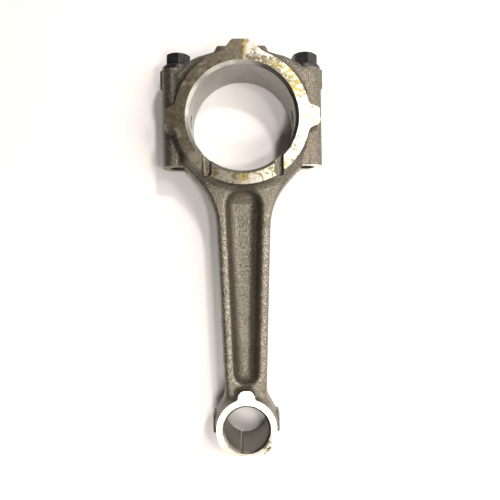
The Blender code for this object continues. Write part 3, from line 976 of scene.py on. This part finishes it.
def make_forged():
    """Shot-blasted skin of a forging: closely dimpled, olive brown, with specks of bare metal that
    are partly painted glints.

    The specks are brightest along the shank's flanges, which rub on whatever the rod lies on; there
    they also make a painted highlight.
    """
    skin_dark, skin_light = (0.104, 0.093, 0.070), (0.135, 0.122, 0.093)
    dimple_shade, crest_glint, bare_metal_and_glint = (0.052, 0.046, 0.037), (0.250, 0.234, 0.187), (0.58, 0.56, 0.49)
    s = Shader("forged_steel", (0.15, 0.135, 0.103), 0.42, 0.79)
    _, y, z = s.axes()
    height = s.maths("ABSOLUTE", z)
    peen = s.noise(1200, 2.0, 0.6)
    grain = s.noise(1700, 2.0, 0.6)
    broad = s.noise(45, 4.0, 0.6)
    colour = s.mix(s.levels(broad, 0.3, 0.7), skin_dark, skin_light)
    # Painted shade darkens the dimples and a painted highlight lightens the grain's raised crests,
    # following the bumps
    colour = s.mix(s.levels(peen, 0.30, 0.48), dimple_shade, colour)
    colour = s.mix(s.levels(grain, 0.55, 0.64), colour, crest_glint)
    flange = BEAM_HALF_DEPTH
    on_flange = s.within(height, (flange - 1.2, flange - 0.3), (flange + 1.0, flange + 0.2))
    on_shank = s.within(y, (-161.25, -152.25), (-43.25, -73.25))
    # Painted highlight: the bare-metal specks are mixed in more strongly along the shank's flanges
    speck_and_highlight_share = s.levels(s.both(on_flange, on_shank), 0.0, 1.0, 0.12, 0.48)
    specks_and_glints = s.both(s.levels(s.cells(1650), 0.60, 0.93), speck_and_highlight_share)
    colour = s.mix(specks_and_glints, colour, bare_metal_and_glint)
    rough = s.levels(grain, 0.3, 0.7, 0.50, 0.34)
    normal = s.bump(grain, 0.1, after=s.bump(peen, 0.3))
    return s.drive(Base_Color=colour, Roughness=rough, Normal=normal)


def oil_film_and_shade(s, x, y):
    """Masks of the film of dried oil, left of a ragged edge, whose darkening is partly painted shade,
    and of the rim where it ends.

    The edge leans right towards the crown, and the rim is broadest at the foot of the ring.
    """
    raggedness, lean, to_left, softness = 3.6, 0.035, 1.361, 0.4
    foot_y, share_at_foot = (-33.25, -8.25), 0.22
    rim_start, rim_end = (-0.6, 0.0), (1.3, 0.3)
    ragged = s.maths("MULTIPLY", s.noise(260, 3.0, 0.6), raggedness)
    edge_x = s.maths("ADD", ragged, s.maths("MULTIPLY", y, lean))
    past = s.maths("SUBTRACT", x, s.maths("SUBTRACT", edge_x, to_left))
    film_and_shade = s.levels(past, softness, -softness)
    slowly_past = s.maths("MULTIPLY", past, s.levels(y, *foot_y, share_at_foot, 1.0))
    rim = s.both(s.levels(past, *rim_start), s.levels(slowly_past, *rim_end))
    streaks = s.noise(520, 3.0, 0.6, where=s.stretched(1.0, 0.22, 1.0))
    return film_and_shade, s.both(rim, s.levels(streaks, 0.42, 0.52))


def bare_face(s, x, y, big_end, fine, swirl, patch):
    """Colour of a ground face where it has no film.

    The big end is stained, most of all on the cap below the crown. The small end is painted a darker
    cream on its left, a painted shade, and has a patch of dirt at its lower right.
    """
    bright, worn = (0.86, 0.84, 0.77), (0.66, 0.63, 0.52)
    yellow, olive = (0.28, 0.235, 0.075), (0.18, 0.163, 0.095)
    shade_cream, brown = (0.26, 0.25, 0.185), (0.10, 0.075, 0.030)
    cap_y, crown_y, shade_x = (7.75, 19.75), (38.75, 31.75), (6.0, -12.0)
    dirt_x, dirt_y = (8.5, 10.5), (-187.75, -189.75)
    colour = s.mix(s.levels(fine, 0.35, 0.62), bright, worn)
    on_cap = s.both(s.levels(y, *cap_y), s.levels(y, *crown_y, -0.07, 0.17))
    stains = s.levels(s.maths("ADD", swirl, on_cap), 0.50, 0.57)
    stains = s.both(s.both(stains, s.levels(fine, 0.34, 0.50)), big_end)
    colour = s.mix(stains, colour, s.mix(s.levels(patch, 0.42, 0.56), yellow, olive))
    # Painted shade: the left of the small end's face is made a darker cream
    left_painted_shade = s.both(s.levels(x, *shade_x), s.levels(fine, 0.25, 0.55, 0.6, 1.0))
    colour = s.mix(s.both(left_painted_shade, s.opposite(big_end)), colour, shade_cream)
    dirt = s.both(s.levels(x, *dirt_x), s.levels(y, *dirt_y))
    return s.mix(s.both(dirt, s.levels(fine, 0.44, 0.52)), colour, brown)


def shaded_filmed_face(s, y, fine, swirl, patch):
    """Colour of a ground face under the film: a dark tone that is partly painted shade, thinner over
    the ring's lower half.
    """
    dark, light = (0.112, 0.101, 0.074), (0.185, 0.171, 0.130)
    thin, brown = (0.31, 0.29, 0.235), (0.115, 0.083, 0.030)
    lower_y = (-3.25, -23.25)
    colour = s.mix(s.levels(fine, 0.35, 0.65), dark, light)
    thinning = s.maths("ADD", patch, s.levels(y, *lower_y, -0.07, 0.09))
    colour = s.mix(s.levels(thinning, 0.47, 0.60, 0.0, 0.75), colour, thin)
    return s.mix(s.levels(swirl, 0.52, 0.59, 0.0, 0.8), colour, brown)


def make_ground():
    """Ground face: bright steel, with dried oil over the left of the big end, its darkness partly
    painted shade.
    """
    rim_yellow, rim_strength, big_end_y = (0.45, 0.32, 0.05), 0.9, (-98.25, -78.25)
    s = Shader("ground_steel", (0.80, 0.78, 0.72), 0.3, 1.0)
    x, y, _ = s.axes()
    fine = s.noise(620, 5.0, 0.7, 0.6)
    swirl = s.noise(150, 5.0, 0.65, 1.6)
    patch = s.noise(75, 4.0, 0.65)
    big_end = s.levels(y, *big_end_y)
    film_and_shade, rim = (s.both(mask, big_end) for mask in oil_film_and_shade(s, x, y))
    bare = bare_face(s, x, y, big_end, fine, swirl, patch)
    # The film's dark tone stands partly for painted shade over the left of the big end
    colour = s.mix(film_and_shade, bare, shaded_filmed_face(s, y, fine, swirl, patch))
    colour = s.mix(s.both(rim, rim_strength), colour, rim_yellow)
    rough = s.levels(film_and_shade, 0.0, 1.0, 0.30, 0.42)
    lines = s.noise(900, 3.0, 0.7, where=s.stretched(1.0, 0.06, 1.0))
    return s.drive(Base_Color=colour, Roughness=rough, Normal=s.bump(lines, 0.02, 0.6))


def make_bored():
    """Fine-bored wall: a warm grey with rings left by the tool, and a painted highlight on its broken
    edge.

    The edge is painted bright at the left and at the foot of the big end, but for a stretch on the
    left above the split.
    """
    light, dark, bright = (0.34, 0.33, 0.305), (0.28, 0.262, 0.23), (0.60, 0.585, 0.53)
    s = Shader("bored_steel", (0.32, 0.31, 0.285), 0.3, 1.0)
    x, y, z = s.axes()
    rings = s.noise(2600, 2.0, 0.6, where=s.stretched(0.02, 0.02, 1.0))
    colour = s.mix(s.levels(s.noise(45, 4.0, 0.6), 0.35, 0.7), light, dark)
    left_x, foot_y = (-2.0, -7.0), (-16.25, -28.25)
    highlight_gap = s.within(y, (1.75, 7.75), (27.75, 22.75))
    left = s.both(s.levels(x, *left_x), s.opposite(highlight_gap))
    left_or_foot = s.maths("MAXIMUM", left, s.levels(y, *foot_y))
    edge_low = HALF - BIG_CHAMFER
    on_edge = s.levels(s.maths("ABSOLUTE", z), edge_low, edge_low + 0.15)
    # Painted highlight on the chamfer, where light catches it at the left and at the foot
    colour = s.mix(s.both(on_edge, left_or_foot), colour, bright)
    rough = s.levels(rings, 0.3, 0.7, 0.26, 0.38)
    return s.drive(Base_Color=colour, Roughness=rough, Normal=s.bump(rings, 0.012, 0.6))


def make_painted_shade():
    """Small cuts, such as the tang slots and tapped holes: plain black, a painted shade for their
    shadowed insides.
    """
    s = Shader("painted_shade_steel", (0.03, 0.028, 0.025), 0.5, 0.6)
    shade_mottle = s.noise(700, 3.0, 0.6)
    return s.drive(Roughness=s.levels(shade_mottle, 0.3, 0.7, 0.4, 0.6))


def make_black_oxide():
    """Chemically blackened steel of the bolts, faintly mottled."""
    dark, light = (0.028, 0.027, 0.030), (0.060, 0.058, 0.062)
    s = Shader("black_oxide", (0.035, 0.034, 0.038), 0.36, 0.6)
    mottle = s.noise(520, 3.0, 0.6)
    colour = s.mix(s.levels(mottle, 0.35, 0.7), dark, light)
    rough = s.levels(mottle, 0.3, 0.7, 0.30, 0.46)
    return s.drive(Base_Color=colour, Roughness=rough, Normal=s.bump(mottle, 0.04, 0.5))


def make_bush_metal():
    """Bored bush: a warm grey, duller on the lead-ins, with a painted highlight beside the seam."""
    dark, light = (0.20, 0.19, 0.16), (0.28, 0.262, 0.22)
    dull, bright = (0.18, 0.176, 0.16), (0.62, 0.61, 0.56)
    s = Shader("bush_metal", (0.26, 0.24, 0.20), 0.32, 1.0)
    x, y, z = s.axes()
    wear = s.noise(160, 4.0, 0.6, where=s.stretched(1.0, 1.0, 0.25))
    colour = s.mix(s.levels(wear, 0.35, 0.7), dark, light)
    lead_in_low = BUSH_HALF - BUSH_CHAMFER
    on_lead_in = s.levels(s.maths("ABSOLUTE", z), lead_in_low - 0.1, lead_in_low + 0.1)
    colour = s.mix(on_lead_in, colour, dull)
    seam_x = BUSH_INNER_R * math.cos(BUSH_SEAM_ANGLE)
    # Painted highlight along the eased edge beside the seam
    seam_highlight = s.within(x, (seam_x - 1.3, seam_x - 0.9), (seam_x + 0.1, seam_x - 0.3))
    seam_highlight = s.both(seam_highlight, s.levels(y, -CENTRES - 5.25, -CENTRES - 8.25))
    colour = s.mix(s.both(seam_highlight, s.opposite(on_lead_in)), colour, bright)
    return s.drive(Base_Color=colour, Roughness=s.levels(wear, 0.3, 0.7, 0.28, 0.42))


def make_ground_pin():
    """Ground outside of a dowel, with fine lines round it."""
    s = Shader("ground_pin", (0.60, 0.60, 0.58), 0.22, 1.0)
    lines = s.noise(3000, 2.0, 0.6, where=s.stretched(0.05, 1.0, 0.05))
    return s.drive(Roughness=s.levels(lines, 0.3, 0.7, 0.18, 0.3))


finishes = [make_forged(), make_ground(), make_bored(), make_painted_shade()]
black_oxide = make_black_oxide()
bush_metal = make_bush_metal()
ground_pin = make_ground_pin()


# ------------------------------------------------------------ the pieces


def dress(piece, body, node):
    """Puts a piece on its body, in the place of a CAD node."""
    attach(piece, body)
    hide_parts(node)


def finish_forging(raw, machine, body, node):
    """Gives a raw forging its finishes, machines it and puts it on its body."""
    for finish in finishes:
        raw.data.materials.append(finish)
    machine(raw)
    shade(raw)
    dress(raw, body, node)


finish_forging(rod_forging(), machine_body, "rod", "rod_body")
finish_forging(cap_forging(), machine_cap, "cap", "rod_cap")

for side, word, head_turn in ((-1, "left", 11.0), (1, "right", 12.5)):
    bolt = build_bolt(f"flange_bolt_{word}", side, math.radians(head_turn))
    dress(bolt, f"bolt_{word}", f"cap_bolt_{word}")
    dowel = build_dowel(f"hollow_dowel_{word}", side)
    dress(dowel, "rod", f"cap_dowel_{word}")

dress(build_bush(), "rod", "small_end_bush")

# ------------------------------------------------------------ stage, light and camera

FLOOR_HALF_WIDTH = 900
FLOOR_DEPTH = 12.0
FLOOR_GAP = 0.02

WARM = (1.0, 0.925, 0.87)
WORLD_STRENGTH = 0.02
AIM = (0, -60, 0)
LAMPS = (
    # name, place, what it is aimed at, width and length, power in W
    ("lamp_high", (330, 500, 1000), AIM, (110, 110), 5.6),
    ("lamp_near", (57, -108, 300), (57, -108, 0), (24, 24), 0.28),
    ("lamp_low", (-25, -250, 300), (-25, -250, 0), (80, 60), 0.48),
    ("lamp_top", (100, 20, 300), (100, 20, 0), (30, 30), 0.18),
)
BOX_DISTANCE = 1000
SOFT_BOXES = (
    # tilt from straight up, heading from +X, width, power in W
    (38, 0, 420, 2.8),
    (38, 315, 420, 1.0),
    (62, 0, 560, 4.0),
    (62, 45, 560, 2.4),
    (62, 90, 560, 1.5),
    (62, 210, 560, 0.15),
    (77, 0, 640, 1.9),
    (77, 270, 640, 2.2),
    (77, 315, 640, 1.7),
)

LENS = 35.28
CAMERA_PLACE = (-1.354, -80.613, 303.616)
CAMERA_ROLL = 0.8637
CAMERA_PITCH = -0.4667
CAMERA_YAW = 0.9557


def build_floor():
    """Plain white paper just under the rod."""
    low = (-FLOOR_HALF_WIDTH, -FLOOR_HALF_WIDTH, -HALF - FLOOR_DEPTH)
    high = (FLOOR_HALF_WIDTH, FLOOR_HALF_WIDTH, -HALF - FLOOR_GAP)
    floor = block("floor", low, high)
    s = Shader("white_paper", (0.92, 0.92, 0.92), 0.7, 0.0)
    s.principled.inputs["Specular IOR Level"].default_value = 0.2
    floor.data.materials.append(s.material)


def area_light(name, place, target, size, power):
    """Rectangular lamp at a place, aimed at a target; both in mm in the rod's frame."""
    lamp = bpy.data.lights.new(name, "AREA")
    lamp.shape = "RECTANGLE"
    lamp.size, lamp.size_y = size[0] * MM, size[1] * MM
    lamp.energy = power
    lamp.color = WARM
    obj = bpy.data.objects.new(name, lamp)
    bpy.context.scene.collection.objects.link(obj)
    obj.location = to_world(place)
    aim = Vector(to_world(target)) - obj.location
    obj.rotation_euler = aim.to_track_quat("-Z", "Y").to_euler()


def build_light():
    """Soft boxes low down on the right, a lamp beyond them and three held near the camera."""
    world = bpy.data.worlds.new("studio")
    world.use_nodes = True
    background = world.node_tree.nodes["Background"]
    background.inputs["Color"].default_value = (*WARM, 1)
    background.inputs["Strength"].default_value = WORLD_STRENGTH
    bpy.context.scene.world = world
    for name, place, target, size, power in LAMPS:
        area_light(name, place, target, size, power)
    for tilt, heading, width, power in SOFT_BOXES:
        lean, turn = math.radians(tilt), math.radians(heading)
        out, up = BOX_DISTANCE * math.sin(lean), BOX_DISTANCE * math.cos(lean)
        place = (AIM[0] + out * math.cos(turn), AIM[1] + out * math.sin(turn), AIM[2] + up)
        area_light(f"box_{tilt}_{heading}", place, AIM, (width, width), power)


def build_camera():
    """Camera 0.3 m above the rod, looking down and held a little askew."""
    camera = bpy.data.objects.new("camera", bpy.data.cameras.new("camera"))
    camera.data.lens = LENS
    camera.data.clip_start = 0.01
    bpy.context.scene.collection.objects.link(camera)
    turn = Matrix.Rotation(math.radians(CAMERA_ROLL), 3, "Z")
    turn = turn @ Matrix.Rotation(math.radians(CAMERA_PITCH), 3, "X")
    turn = turn @ Matrix.Rotation(math.radians(CAMERA_YAW), 3, "Y")
    place = Matrix.Translation(to_world(CAMERA_PLACE))
    camera.matrix_world = place @ turn.transposed().to_4x4()
    bpy.context.scene.camera = camera


build_floor()
build_light()
build_camera()
bpy.context.scene.view_settings.view_transform = "Standard"
